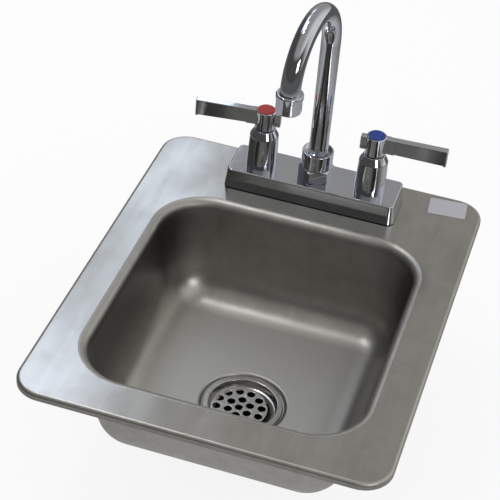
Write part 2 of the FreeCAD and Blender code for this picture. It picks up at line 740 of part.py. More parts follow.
def hub():
    lean = COLLAR_R - HUB_R
    out = Outline(0, HANDLE_NECK_BOTTOM)
    out.line(HANDLE_NECK_R, HANDLE_NECK_BOTTOM)
    out.line(HANDLE_NECK_R, HUB_BOTTOM)
    out.line(HUB_R - LOOSE, HUB_BOTTOM)
    out.line(HUB_R, HUB_BOTTOM + LOOSE)
    out.line(HUB_R, COLLAR_BOTTOM - lean)
    out.line(COLLAR_R, COLLAR_BOTTOM)
    out.line(COLLAR_R, HANDLE_TOP - 2 * LOOSE)
    out.line(COLLAR_R - 2 * LOOSE, HANDLE_TOP)
    out.line(0, HANDLE_TOP)
    return out.turned()


def lever_handle():
    stub_half = LEVER_THICK / 2
    stub = block(-STUB_REACH, 0, -stub_half, stub_half, STUB_TOP - STUB_HEIGHT, STUB_TOP)
    ends = [e for e in stub.Edges if e.BoundBox.XMax < LEVER_TIP_EDGE - STUB_REACH]
    long_edges = [e for e in stub.Edges if e.BoundBox.XLength > STUB_REACH - LEVER_TIP_EDGE]
    stub = stub.makeFillet(LEVER_TIP_EDGE, ends + [e for e in long_edges if e.Length > STUB_HEIGHT])
    for side in (-1, 1):
        skin = sorted([side * stub_half, side * (stub_half - LEVER_PANEL)])
        low = STUB_TOP - STUB_HEIGHT + LEVER_CAP
        stub = stub.cut(block(LEVER_CAP - STUB_REACH, 0, skin[0], skin[1], low, STUB_TOP - LEVER_CAP))
    handle = fused([hub(), lever_blade(), lever_gusset(), lever_flare(), stub])
    socket = STEM_SQUARE / 2 + RUN
    flat = STEM_TOP - STEM_SQUARE_LENGTH
    handle = handle.cut(cylinder(BUTTON_R + FIT, HANDLE_TOP - BUTTON_SINK, HANDLE_TOP))
    handle = handle.cut(cylinder(HANDLE_SCREW_HEAD_R + LOOSE, SCREW_SEAT, HANDLE_TOP))
    handle = handle.cut(cylinder(HANDLE_SCREW_R + LOOSE, STEM_TOP, SCREW_SEAT))
    handle = handle.cut(block(-socket, socket, -socket, socket, flat, STEM_TOP))
    return handle.cut(cylinder(STEM_R + FIT, HANDLE_NECK_BOTTOM, flat))


def index_button():
    top = HANDLE_TOP + BUTTON_PROUD
    button = cylinder(BUTTON_R, HANDLE_TOP - BUTTON_SINK, top)
    return button.makeFillet(BUTTON_EDGE, edges_at(button, top))


def handle_screw():
    head = cylinder(HANDLE_SCREW_HEAD_R, SCREW_SEAT, SCREW_SEAT + HANDLE_SCREW_HEAD)
    shank_end = STEM_TOP - HANDLE_SCREW_LENGTH + LOOSE
    return head.fuse(cylinder(HANDLE_SCREW_R, shank_end, SCREW_SEAT)).removeSplitter()


def valve_pieces(colour, turn, x):
    pieces = {
        "cartridge": cartridge(),
        "seat_seal": seat_seal(),
        "fixed_disc": ceramic_disc(FIXED_DISC, DISC_R, 0),
        "turning_disc": ceramic_disc(TURNING_DISC, DISC_R - LOOSE, 90),
        "stem": stem(),
        "stem_o_ring": stem_ring(),
        "bonnet": bonnet(),
        "lever": lever_handle(),
        "handle_screw": handle_screw(),
        "index_button": index_button(),
        "supply_shank": supply_shank(),
    }
    return {colour + "_" + name: moved(spun(shape, turn), x, TAP_Y) for name, shape in pieces.items()}


# Spout: built on its own axis, straight forward, and then turned to its rest

def spout_socket():
    base = BASE_TOP
    hex_part = chamfered_hexagon(SOCKET_FLATS, base, SOCKET_HEX_TOP)
    post = cylinder(POST_R, SOCKET_HEX_TOP, POST_TOP)
    spigot = cylinder(SOCKET_BORE - FIT, BASE_ROOF, base)
    body = fused([hex_part, post, spigot])
    body = body.cut(cylinder(SOCKET_BORE, base + SOCKET_FLOOR, POST_TOP))
    return body.cut(cylinder(SHANK_BORE, BASE_ROOF, base + SOCKET_FLOOR))


def spout_nut():
    bottom = SOCKET_HEX_TOP + LOOSE
    lip = FLANGE_Z + FERRULE_FLANGE + LOOSE
    top = lip + SPOUT_NUT_LIP
    mouth = TUBE_R + LOOSE
    edge = SPOUT_NUT_R - SPOUT_NUT_EDGE
    out = Outline(POST_R + FIT, bottom)
    out.arc((edge, bottom + SPOUT_NUT_EDGE), SPOUT_NUT_EDGE, -math.pi / 2, 0)
    out.arc((edge, top - SPOUT_NUT_EDGE), SPOUT_NUT_EDGE, 0, math.pi / 2)
    out.line(edge - SPOUT_NUT_RIM, top)
    out.line(mouth, top - SPOUT_NUT_FUNNEL)
    out.line(mouth, lip)
    out.line(POST_R + FIT, lip)
    return out.turned()


def glide_washer():
    return tube(FERRULE_R + LOOSE, POST_R - LOOSE, POST_TOP, POST_TOP + GLIDE)


def spout_ferrule():
    top = FLANGE_Z + FERRULE_FLANGE
    body = tube(TUBE_R + RUN, FERRULE_R, FERRULE_BOTTOM, top)
    body = body.fuse(tube(TUBE_R + RUN, POST_R - LOOSE, FLANGE_Z, top)).removeSplitter()
    for height in O_RING_HEIGHTS:
        low = FERRULE_BOTTOM + height - O_RING_WIDTH / 2
        body = body.cut(tube(FERRULE_R - O_RING_GROOVE, FERRULE_R, low, low + O_RING_WIDTH))
    return body


def spout_o_rings():
    section = O_RING_GROOVE / 2
    ring = Part.makeTorus(FERRULE_R - section + RUN / 2, section - RUN / 2)
    return [moved(ring, 0, 0, FERRULE_BOTTOM + height) for height in O_RING_HEIGHTS]


def gooseneck():
    bore = Part.Face(Part.Wire(Part.makeCircle(TUBE_R - TUBE_WALL)))
    wall = Part.Face(Part.Wire(Part.makeCircle(TUBE_R))).cut(bore).Faces[0]
    riser = moved(wall, 0, 0, FERRULE_BOTTOM).extrude(FreeCAD.Vector(0, 0, ARCH_Z - FERRULE_BOTTOM))
    turn_centre = FreeCAD.Vector(0, -ARCH_R, ARCH_Z)
    arch = moved(wall, 0, 0, ARCH_Z).revolve(turn_centre, FreeCAD.Vector(1, 0, 0), 180)
    arm = moved(wall, 0, -2 * ARCH_R, TUBE_END).extrude(FreeCAD.Vector(0, 0, ARCH_Z - TUBE_END))
    return fused([riser, arch, arm])


AERATOR_BOTTOM = AERATOR_TOP - AERATOR_LENGTH
INSERT_BOTTOM = AERATOR_BOTTOM + AERATOR_LIP
INSERT_TOP = TUBE_END - AERATOR_WASHER


def aerator_housing():
    out = Outline(AERATOR_LIP_R, AERATOR_BOTTOM)
    out.arc((AERATOR_R - AERATOR_EDGE, AERATOR_BOTTOM + AERATOR_EDGE), AERATOR_EDGE, -math.pi / 2, 0)
    out.line(AERATOR_R, AERATOR_TOP - AERATOR_BAND)
    out.line(AERATOR_BAND_R, AERATOR_TOP - AERATOR_BAND + AERATOR_BAND_R - AERATOR_R)
    out.arc((AERATOR_BAND_R - AERATOR_EDGE, AERATOR_TOP - AERATOR_EDGE), AERATOR_EDGE, 0, math.pi / 2)
    out.line(TUBE_R + RUN, AERATOR_TOP)
    out.line(TUBE_R + RUN, TUBE_END)
    out.line(INSERT_R + FIT, TUBE_END)
    out.line(INSERT_R + FIT, INSERT_BOTTOM)
    out.line(AERATOR_LIP_R, INSERT_BOTTOM)
    return out.turned()


def aerator_insert():
    cup = cylinder(INSERT_R, INSERT_BOTTOM, INSERT_TOP)
    cup = cup.cut(cylinder(INSERT_R - INSERT_WALL, INSERT_BOTTOM + INSERT_FLOOR, INSERT_TOP))
    for x, y in filled_circle(JET_PITCH, JET_RING_COUNT):
        cup = cup.cut(cylinder(JET_R, INSERT_BOTTOM, INSERT_BOTTOM + INSERT_FLOOR, x, y))
    return cup


def aerator_washer():
    return tube(TUBE_R - TUBE_WALL, INSERT_R, INSERT_TOP, TUBE_END)


def on_spout(shape):
    return moved(spun(shape, SPOUT_REST), 0, TAP_Y)


def on_outlet(shape):
    return on_spout(moved(shape, 0, -2 * ARCH_R))


def all_nodes():
    nodes = {
        "sink_basin": sink_basin(),
        "rim_seal": rim_seal(),
        "clip_rails": Part.makeCompound(clip_rails()),
        "blank_label": blank_label(),
        "drain_body": drain_body(),
        "drain_putty_ring": drain_putty(),
        "drain_gasket": drain_ring(DRAIN_WASHER_TOP, SINK_UNDER),
        "drain_friction_washer": drain_ring(DRAIN_NUT_TOP, DRAIN_WASHER_TOP),
        "drain_locknut": drain_locknut(),
        "strainer_plate": strainer_plate(),
        "faucet_base_pad": base_pad(),
        "faucet_base": faucet_base(),
        "brass_waterway": waterway(),
        "shank_washers": Part.makeCompound(shank_washers()),
        "shank_locknuts": Part.makeCompound(shank_nuts()),
        "spout_socket": moved(spun(spout_socket(), SOCKET_TURN), 0, TAP_Y),
        "spout_glide_washer": on_spout(glide_washer()),
        "spout_nut": on_spout(spout_nut()),
        "gooseneck_tube": on_spout(gooseneck()),
        "spout_ferrule": on_spout(spout_ferrule()),
        "spout_o_rings": Part.makeCompound([on_spout(ring) for ring in spout_o_rings()]),
        "aerator_housing": on_outlet(aerator_housing()),
        "aerator_insert": on_outlet(aerator_insert()),
        "aerator_washer": on_outlet(aerator_washer()),
    }
    nodes.update(valve_pieces("hot", 180 + HOT_REST, -VALVE_X))
    nodes.update(valve_pieces("cold", COLD_REST, VALVE_X))
    return nodes


def main():
    os.makedirs("parts", exist_ok=True)
    for name, shape in all_nodes().items():
        shape.exportStep("parts/" + name + ".step")
        print(name, len(shape.Solids), round(shape.Volume, 1), shape.isValid())


main()
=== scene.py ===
# %% [markdown]
# # A drop-in hand sink
# This lesson dresses a finished frame. The frame holds every solid of the sink and its tap at its true
# size and place, so nothing here is moved to fit: each step only adds a finish, a light or a finer piece.
# The frame's box is kept at once, because the finished model has to stay inside it.

# %% Load the frame
import bpy
import bmesh
import json
import math
from mathutils import Matrix, Vector


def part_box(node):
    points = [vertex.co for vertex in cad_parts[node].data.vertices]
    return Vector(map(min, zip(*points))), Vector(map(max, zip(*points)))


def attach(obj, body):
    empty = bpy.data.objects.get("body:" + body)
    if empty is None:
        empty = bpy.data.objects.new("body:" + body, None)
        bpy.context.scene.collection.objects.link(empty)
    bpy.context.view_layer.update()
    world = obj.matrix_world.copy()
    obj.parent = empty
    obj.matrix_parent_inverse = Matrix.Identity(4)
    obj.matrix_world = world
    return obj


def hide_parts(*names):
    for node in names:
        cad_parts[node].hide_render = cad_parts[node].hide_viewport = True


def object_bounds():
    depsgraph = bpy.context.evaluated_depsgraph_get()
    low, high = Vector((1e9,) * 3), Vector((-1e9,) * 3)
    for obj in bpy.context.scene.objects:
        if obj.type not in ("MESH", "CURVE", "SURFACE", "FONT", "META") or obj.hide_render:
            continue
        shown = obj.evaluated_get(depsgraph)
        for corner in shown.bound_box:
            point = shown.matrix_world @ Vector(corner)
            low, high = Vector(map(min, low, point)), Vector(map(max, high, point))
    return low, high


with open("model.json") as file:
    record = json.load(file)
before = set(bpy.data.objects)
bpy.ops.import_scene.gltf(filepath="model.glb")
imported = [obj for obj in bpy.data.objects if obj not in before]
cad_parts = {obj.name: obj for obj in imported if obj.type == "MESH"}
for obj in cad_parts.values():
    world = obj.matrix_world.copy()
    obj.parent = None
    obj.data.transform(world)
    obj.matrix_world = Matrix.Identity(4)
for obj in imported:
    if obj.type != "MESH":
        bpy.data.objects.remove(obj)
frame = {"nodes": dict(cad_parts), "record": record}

MM = 0.001
scene = bpy.context.scene
nodes = frame["nodes"]
cad_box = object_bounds()
print("pieces in the frame:", len(nodes), "box", [[round(v, 4) for v in c] for c in cad_box])

# %% [markdown]
# ## The camera
# The picture was taken from above the user's right shoulder, with a slight tilt. A camera like that can
# be placed by hand, but the rim is a rectangle of known size, so its edges fix the place, the three
# directions and the focal length. The numbers below are that answer. The lens is given for a frame as
# wide as the sensor.

# %% Camera
CAMERA_AT = Vector((0.24879, -1.04603, 0.89373))
CAMERA_RIGHT = Vector((0.951522, 0.299274, 0.070996))
CAMERA_FORWARD = Vector((-0.193181, 0.761097, -0.619203))
FOCAL_PIXELS = 1653.0
FRAME_PIXELS = 500.0
SENSOR_MM = 36.0

camera_data = bpy.data.cameras.new("camera")
camera_data.sensor_fit = "HORIZONTAL"
camera_data.sensor_width = SENSOR_MM
camera_data.lens = SENSOR_MM * FOCAL_PIXELS / FRAME_PIXELS
camera = bpy.data.objects.new("camera", camera_data)
scene.collection.objects.link(camera)
camera_up = CAMERA_RIGHT.cross(CAMERA_FORWARD)
turn = Matrix((CAMERA_RIGHT, camera_up, -CAMERA_FORWARD)).transposed()
camera.matrix_world = Matrix.Translation(CAMERA_AT) @ turn.to_4x4()
scene.camera = camera
scene.view_settings.view_transform = "Standard"
print("lens", round(camera_data.lens, 2), "mm")

# %% [markdown]
# ## Node sums in plain arithmetic
# A finish is a small calculation: noise times a strength, plus a base. Written node by node it is long,
# so one class wraps a socket and lets Python's operators add the Math nodes. Every other node comes from
# its `node` method, which takes the node's type, its settings and the values or links of its sockets. The
# same class serves Geometry Nodes further down, because both kinds of tree share these nodes.

# %% The wire class
def arithmetic(operation, swapped=False):
    """A method that adds one Math node."""

    def method(self, value=0.0):
        pair = (value, self) if swapped else (self, value)
        return self.sums(operation, *pair)

    return method


class Wire:
    """One output socket of a node tree."""

    __add__ = arithmetic("ADD")
    __radd__ = arithmetic("ADD", swapped=True)
    __sub__ = arithmetic("SUBTRACT")
    __rsub__ = arithmetic("SUBTRACT", swapped=True)
    __mul__ = arithmetic("MULTIPLY")
    __rmul__ = arithmetic("MULTIPLY", swapped=True)
    __truediv__ = arithmetic("DIVIDE")
    __rtruediv__ = arithmetic("DIVIDE", swapped=True)
    __pow__ = arithmetic("POWER")
    __abs__ = arithmetic("ABSOLUTE")
    most = arithmetic("MAXIMUM")

    def __init__(self, tree, socket=None):
        self.tree = tree
        self.socket = socket

    def plug(self, socket, value):
        """Links a wire to a socket, or sets the socket to a plain value."""
        if isinstance(value, Wire):
            self.tree.links.new(value.socket, socket)
        else:
            socket.default_value = value

    def node(self, kind, settings=None, out=0, **sockets):
        """Adds a node. A socket goes by its name, with _ for a space, or by its number, as in i0."""
        made = self.tree.nodes.new(kind if kind.startswith("Geometry") else "ShaderNode" + kind)
        for name, value in (settings or {}).items():
            setattr(made, name, value)
        for name, value in sockets.items():
            key = int(name[1:]) if name[1:].isdigit() else name.replace("_", " ")
            self.plug(made.inputs[key], value)
        return Wire(self.tree, made.outputs[out])

    def other(self, name):
        """Another output of the same node."""
        return Wire(self.tree, self.socket.node.outputs[name])

    def sums(self, operation, a, b=0.0):
        return self.node("Math", {"operation": operation}, i0=a, i1=b)

    def ease(self, low, high):
        """0 at low, 1 at high, and smooth between them."""
        smooth = {"interpolation_type": "SMOOTHSTEP"}
        return self.node("MapRange", smooth, Value=self, From_Min=low, From_Max=high)

    def blend(self, a, b):
        """Colour a where this is 0, colour b where it is 1."""
        return self.node("Mix", {"data_type": "RGBA"}, 2, i0=self, i6=a, i7=b)

    def parts(self):
        """The three numbers of a vector."""
        made = self.node("SeparateXYZ", Vector=self)
        return [made.other(axis) for axis in "XYZ"]

    def scaled(self, x, y, z):
        return self.node("VectorMath", {"operation": "MULTIPLY"}, i0=self, i1=(x, y, z))

    def moved(self, x, y, z):
        return self.node("VectorMath", {"operation": "ADD"}, i0=self, i1=(x, y, z))

    def from_axis(self, x, y):
        """How far this place is from the upright axis through x, y."""
        flat = self.moved(-x, -y, 0).scaled(1, 1, 0)
        return self.node("VectorMath", {"operation": "LENGTH"}, 1, i0=flat)

    def noise(self, scale=1.0, detail=2.0, roughness=0.5, warp=0.0):
        return self.node("TexNoise", Vector=self, Scale=scale, Detail=detail, Roughness=roughness,
                         Distortion=warp)

    def rings(self, scale, detail=2.0):
        """Noise along one length, such as the marks that a lathe tool leaves."""
        return self.node("TexNoise", {"noise_dimensions": "1D"}, W=self, Scale=scale, Detail=detail)

    def cells(self, scale):
        return self.node("TexVoronoi", Vector=self, Scale=scale)

    def bump(self, height, distance=1.0, strength=1.0):
        """A normal that leans with height, which is in units of distance."""
        return self.node("Bump", Strength=strength, Distance=distance, Height=height)

print("wire class ready")

# %% [markdown]
# ## The room
# Metal has hardly any colour of its own: it shows the room. A picture of a real room would do, but a few
# soft steps of grey are easier to steer. This room is grey, bright on the right, and dark on the left and
# low in front, which is what the bowl's walls and the tap's dark strips reflect. Only mirrors see it.
# Other surfaces get an even light, and the camera sees plain white.

# %% World
EYE_WHITE = (1, 1, 1, 1)
EVEN_LIGHT = (0.80, 0.80, 0.80, 1)
ROOM_WALLS = (0.37, 0.362, 0.35, 1)
ROOM_LOW = (0.08, 0.077, 0.073, 1)
ROOM_BRIGHT = (0.80, 0.79, 0.77, 1)
ROOM_SKIRT = (0.52, 0.72)
ROOM_FRONT = (-0.5, 0.3)
ROOM_LEFT = (0.35, 0.75)
ROOM_RIGHT = (0.15, 0.65)

def ray_kinds(tree):
    """Whether a ray comes from the camera, and whether it comes off or through something shiny."""
    camera_ray = Wire(tree).node("LightPath", out="Is Camera Ray")
    shiny = camera_ray.other("Is Glossy Ray").most(camera_ray.other("Is Transmission Ray"))
    return camera_ray, shiny

def show(surface, kind):
    """Ends a tree with this shader. The kind is World or Material."""
    end = surface.tree.nodes.new("ShaderNodeOutput" + kind)
    surface.tree.links.new(surface.socket, end.inputs["Surface"])

world = bpy.data.worlds.new("studio")
scene.world = world
world.use_nodes = True
world.node_tree.nodes.clear()
camera_ray, shiny = ray_kinds(world.node_tree)
east, north, height = camera_ray.node("TexCoord", None, "Generated").parts()
skirt = (1 - height.ease(*ROOM_SKIRT)) * (1 - north.ease(*ROOM_FRONT))
room = east.ease(*ROOM_RIGHT).blend(ROOM_WALLS, ROOM_BRIGHT)
room = skirt.most((0 - east).ease(*ROOM_LEFT)).blend(room, ROOM_LOW)
seen = camera_ray.blend(shiny.blend(EVEN_LIGHT, room), EYE_WHITE)
show(camera_ray.node("Background", Color=seen, Strength=1.0), "World")
print("world nodes:", len(world.node_tree.nodes))

# %% [markdown]
# ## Lamps
# The deck is pale and bluish on the left, with a straight edge down its length, and an even warm grey on
# the right. An edge that stays parallel to the side of a flat deck belongs to a panel whose own edge runs
# the same way, up on the left and behind. The panel is in three, and the middle one is narrow, so that
# the deck's outer edge is darker there. A bright strip overhead gives the streak in the bowl's back bend,
# and a lamp on the right gives the spot in the far corner and lights the left bend.

# %% Lamp panels
DAYLIGHT = (0.70, 0.81, 1.0)
WHITE = (1.0, 1.0, 1.0)
IN_THE_BOWL = (0, 0, -50 * MM)

def lamp_panel(name, at, size, brightness, colour, aim=None):
    """A rectangular lamp of even brightness. It faces down, or towards aim."""
    data = bpy.data.lights.new(name, "AREA")
    data.shape = "RECTANGLE"
    data.size, data.size_y = size
    data.color = colour
    data.energy = brightness * math.pi * size[0] * size[1]
    lamp = bpy.data.objects.new(name, data)
    lamp.location = at
    if aim:
        lamp.rotation_euler = (Vector(aim) - Vector(at)).to_track_quat("-Z", "Y").to_euler()
    lamp.visible_camera = False
    scene.collection.objects.link(lamp)
    print(name, round(data.energy, 2), "W")

lamp_panel("left_panel_back", at=(-0.61, 1.48, 1.0), size=(0.31, 0.36), brightness=1.85, colour=DAYLIGHT)
lamp_panel("left_panel_middle", at=(-0.505, 1.13, 1.0), size=(0.10, 0.34), brightness=1.45, colour=DAYLIGHT)
lamp_panel("left_panel_front", at=(-0.61, 0.60, 1.0), size=(0.31, 0.72), brightness=1.95, colour=DAYLIGHT)
lamp_panel("overhead_strip", at=(-0.47, 0.36, 1.4), size=(0.07, 0.60), brightness=25.0, colour=WHITE)
lamp_panel("right_lamp", at=(0.863, -0.862, 0.60), size=(0.40, 0.40), brightness=5.2, colour=WHITE,
           aim=IN_THE_BOWL)

# %% [markdown]
# ## The floor
# The floor is white to the eye and keeps a soft shadow. Polished metal sees it as a mid grey near the
# sink that turns dark further out, as a table in a room does. A second sheet could stand in for that, but
# the material can tell the kinds of ray apart. Right under the drain's open end the floor doesn't glow,
# so that the strainer's holes look into the dark. From below it is clear, so that the underside can be
# looked at.

# %% Floor
FLOOR_Z = cad_box[0][2] - 1 * MM
FLOOR_HALF = 6.0
FLOOR_CORNERS = [(-1, -1), (1, -1), (1, 1), (-1, 1)]
FLOOR_GREY = (0.86, 0.86, 0.86, 1)
FLOOR_GLOW = 0.85
FLOOR_NEAR = (0.27, 0.80)
MIRRORED_NEAR = (0.55, 0.55, 0.55, 1)
MIRRORED_FAR = (0.12, 0.12, 0.12, 1)
DRAIN_SHADE = (24 * MM, 30 * MM)
drain_low, drain_high = [Vector(corner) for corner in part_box("drain_body")]
drain_axis = (drain_low + drain_high) / 2

def bare_material(name):
    """A new material with an empty tree."""
    made = bpy.data.materials.new(name)
    made.use_nodes = True
    made.node_tree.nodes.clear()
    return made

ground = bpy.data.meshes.new("floor")
spread = [(x * FLOOR_HALF, y * FLOOR_HALF, FLOOR_Z) for x, y in FLOOR_CORNERS]
ground.from_pydata(spread, [], [(0, 1, 2, 3)])
ground.materials.append(bare_material("floor"))
floor = bpy.data.objects.new("floor", ground)
scene.collection.objects.link(floor)

camera_ray, shiny = ray_kinds(ground.materials[0].node_tree)
place = camera_ray.node("TexCoord", None, "Object")
open_floor = place.from_axis(drain_axis.x, drain_axis.y).ease(*DRAIN_SHADE)
mirrored = place.from_axis(0, 0).ease(*FLOOR_NEAR).blend(MIRRORED_NEAR, MIRRORED_FAR)
lit = place.node("BsdfDiffuse", Color=FLOOR_GREY)
glow = place.node("Emission", Color=shiny.blend(EYE_WHITE, mirrored), Strength=1.0)
above = place.node("MixShader", i0=open_floor * (camera_ray * FLOOR_GLOW + shiny), i1=lit, i2=glow)
from_below = place.node("NewGeometry", None, "Backfacing")
show(place.node("MixShader", i0=from_below, i1=above, i2=place.node("BsdfTransparent")), "Material")
print("floor at", round(FLOOR_Z, 4))

# %% [markdown]
# ## Finishes
# Each finish starts from a Principled shader. `finish` makes the material and returns its coordinates and
# a function that plugs results into the shader, so that a finish reads from pattern to result.
# Coordinates are the object's own, in metres, so a pattern has the same size on every piece.

# %% Finish helper
paints = {}

def finish(name, **constants):
    """A new material: its place on the object, and the way to feed its shader."""
    paints[name] = bare_material(name)
    start = Wire(paints[name].node_tree)
    shader = start.node("BsdfPrincipled", **constants)
    show(shader, "Material")

    def feed(**sockets):
        for socket, value in sockets.items():
            start.plug(shader.socket.node.inputs[socket.replace("_", " ")], value)

    return start.node("TexCoord", None, "Object"), feed

print("finish helper ready")

# %% [markdown]
# ## Satin steel: which way it faces
# The sink is pressed from one sheet: a flat deck, a lip that bends down, drawn walls and a level floor,
# and each has a look of its own. They could be painted as a map, but the height and the direction of the
# surface tell them apart already, so a few soft masks do it at any size.

# %% Steel masks
DECK_BLEND = (1.5 * MM, 5.5 * MM)
LIP_BLEND = (-8 * MM, 0 * MM)
WALL_SHADE_FADE = (-80 * MM, -30 * MM)
BOWL_MIDDLE_Y = -25 * MM
OUTSIDE_BLEND = (0 * MM, 20 * MM)
LEVEL = (0.85, 1.0)
UPRIGHT = (0.15, 0.85)
BENT = (0.99, 0.9998)
SIDE_SHADE_SHARE = 0.6
DEPTH_SHADE_SHARE = 0.6

place, feed = finish("satin_steel", Metallic=1.0)
x, y, z = place.parts()
facing_x, facing_y, facing_z = place.other("Normal").parts()
deck = z.ease(*DECK_BLEND)
lip = z.ease(*LIP_BLEND)
outside = (facing_x * x + facing_y * (y - BOWL_MIDDLE_Y)).ease(*OUTSIDE_BLEND) * (1 - deck)
level = facing_z.ease(*LEVEL)
bent = lip * (1 - facing_z.ease(*BENT))
# Painted shade: this mask darkens the walls' colour, more on the two sides and near the lip.
wall_shade = (1 - facing_z.ease(*UPRIGHT)) * (1 - deck) * (1 - outside)
wall_shade = wall_shade * (1 - SIDE_SHADE_SHARE + SIDE_SHADE_SHARE * abs(facing_x))
wall_shade = wall_shade * (1 - DEPTH_SHADE_SHARE + DEPTH_SHADE_SHARE * z.ease(*WALL_SHADE_FADE))
print("deck above", DECK_BLEND[0], "m, lip above", LIP_BLEND[0], "m")

# %% [markdown]
# ## Satin steel: grain and colour
# The deck is brushed with a belt along its sides and along its ends, so the grain changes direction at the
# corners. Wiping leaves blotches and streaks of a slightly different grey. The walls' much darker colour is
# painted shade, most on the two sides and near the lip, in place of the dark reflections that they show.
# Noise that is stretched far along one direction gives a grain without a picture of one.

# %% Steel colour
STEEL_DARK = (0.42, 0.406, 0.377, 1)
STEEL_LIGHT = (0.55, 0.54, 0.51, 1)
# The walls' colour: painted shade, far darker than the sheet.
WALL_SHADE_DARK = (0.10, 0.094, 0.087, 1)
WALL_SHADE_LIGHT = (0.13, 0.123, 0.113, 1)
GRAIN_FINE = 900
GRAIN_LONG = 14
STREAK_STRETCH = (90, 9, 90)
MITRE = 0.8
MITRE_BLEND = (-10 * MM, 10 * MM)
MOTTLE = (0.30, 0.70)
TONE = 0.25
GRAIN_TONE = 0.15
BLOTCH_TONE = 0.35
STREAK_TONE = 0.35
FLOOR_PAINTED_LIGHT = 0.6

along_y = place.scaled(GRAIN_FINE, GRAIN_LONG, GRAIN_FINE).noise(detail=3, roughness=0.6)
along_x = place.scaled(GRAIN_LONG, GRAIN_FINE, GRAIN_FINE).noise(detail=3, roughness=0.6)
side = (abs(x) - abs(y) * MITRE).ease(*MITRE_BLEND)
grain = side * along_y + (1 - side) * along_x
blotch = place.noise(scale=38, detail=3, roughness=0.6, warp=0.4)
streak = place.scaled(*STREAK_STRETCH).noise(detail=3, roughness=0.6, warp=0.3)
tone = TONE + GRAIN_TONE * grain + BLOTCH_TONE * blotch.ease(*MOTTLE) + STREAK_TONE * streak.ease(*MOTTLE)
# Painted light: the bowl's level floor is made lighter in colour than the deck.
flat_colour = (tone + FLOOR_PAINTED_LIGHT * level * (1 - deck)).blend(STEEL_DARK, STEEL_LIGHT)
feed(Base_Color=wall_shade.blend(flat_colour, tone.blend(WALL_SHADE_DARK, WALL_SHADE_LIGHT)))
print("grain marks up to", round(1 / GRAIN_FINE / MM, 1), "mm wide,", round(1 / GRAIN_LONG / MM), "mm long")

# %% [markdown]
# ## Satin steel: gloss and relief
# The belt leaves the deck smoother than the bowl. The bowl's floor is scoured most, the bends at the lip
# are rubbed dull by the press, and the outside is never finished. The relief is a height in metres: a
# slow wave that pressing leaves in the sheet, shallow blotches, and the grain, which is far too fine to
# model.

# %% Steel gloss and relief
DECK_ROUGH = 0.17
DECK_GRAIN_ROUGH = 0.02
DECK_SMEAR_ROUGH = 0.075
SMEAR_STRETCH = (1.6, 0.7, 1)
SMEAR = (0.30, 0.85)
BOWL_ROUGH = 0.35
CLOUD_ROUGH = 0.06
LEVEL_ROUGH = 0.19
OUTSIDE_ROUGH = 0.15
BENT_ROUGH = 0.45
WAVE_DEPTH = 0.6 * MM
BLOTCH_DEPTH = 0.02 * MM
GRAIN_DEPTH = 0.0015 * MM

cloud = place.noise(scale=12)
smear = place.scaled(*SMEAR_STRETCH).noise(scale=17, roughness=0.45, warp=0.5).ease(*SMEAR)
deck_rough = DECK_ROUGH + DECK_GRAIN_ROUGH * grain + DECK_SMEAR_ROUGH * smear
scoured = (level ** 2).most(lip)
bowl_rough = BOWL_ROUGH + CLOUD_ROUGH * cloud + LEVEL_ROUGH * scoured + OUTSIDE_ROUGH * outside
feed(Roughness=(deck * deck_rough + (1 - deck) * bowl_rough).most(bent * BENT_ROUGH))
feed(Normal=place.bump(grain * GRAIN_DEPTH + blotch * BLOTCH_DEPTH + cloud * WAVE_DEPTH))
print("satin steel: deck roughness from", DECK_ROUGH, "and bowl from", BOWL_ROUGH)

# %% [markdown]
# ## Chrome
# The tap is cast and plated. Plating copies the casting's slight waves, so straight reflections wobble a
# little, and it takes a faint blue from its thin blue-white layer. Fingers and dried water dull it in
# patches. The waves are a tiny bump: a mirror shows slopes that no mesh of a sensible size could hold.

# %% Chrome
CHROME_DULL = (0.60, 0.62, 0.67, 1)
CHROME_CLEAR = (0.66, 0.68, 0.73, 1)
CHROME_ROUGH = 0.03
CHROME_SMEAR_ROUGH = 0.06
CAST_WAVE = 0.05 * MM
CAST_RIPPLE = 0.02 * MM

place, feed = finish("tap_chrome", Metallic=1.0)
smear = place.noise(scale=60, detail=3, roughness=0.6, warp=0.6)
feed(Base_Color=smear.blend(CHROME_DULL, CHROME_CLEAR))
feed(Roughness=CHROME_ROUGH + CHROME_SMEAR_ROUGH * smear)
feed(Normal=place.bump(place.noise(scale=70) * CAST_WAVE + place.noise(scale=220, detail=1) * CAST_RIPPLE))
print("chrome waves", round(CAST_WAVE / MM, 3), "mm deep")

# %% [markdown]
# ## Drain steel
# The drain is turned, so its marks are rings about its own axis: noise along one length, the distance
# from that axis. Below the strainer plate nobody wipes it, so the bore has a dull film, and its near-black
# colour is painted shade. Two soft masks, one on the distance and one on the height, tell the wiped metal
# from the bore.

# %% Drain steel
DRAIN_DARK = (0.50, 0.49, 0.47, 1)
DRAIN_LIGHT = (0.66, 0.65, 0.62, 1)
DRAIN_FILM_SHADE = (0.012, 0.011, 0.010, 1)
FILM_DEPTH = 3 * MM
FILM_EDGE = (23.4 * MM, 23.8 * MM)
MARK_TONE = 0.24
STAIN_TONE = 0.16
DRAIN_ROUGH = 0.13
MARK_ROUGH = 0.08
STAIN_ROUGH = 0.05
FILM_ROUGH = 0.7
MARK_DEPTH = 0.08 * MM
plate_low, plate_high = [Vector(corner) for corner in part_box("strainer_plate")]

place, feed = finish("drain_steel", Metallic=1.0)
reach = place.from_axis(drain_axis.x, drain_axis.y)
marks = reach.rings(2600, detail=3)
stain = place.noise(scale=90, detail=4, roughness=0.6, warp=0.5)
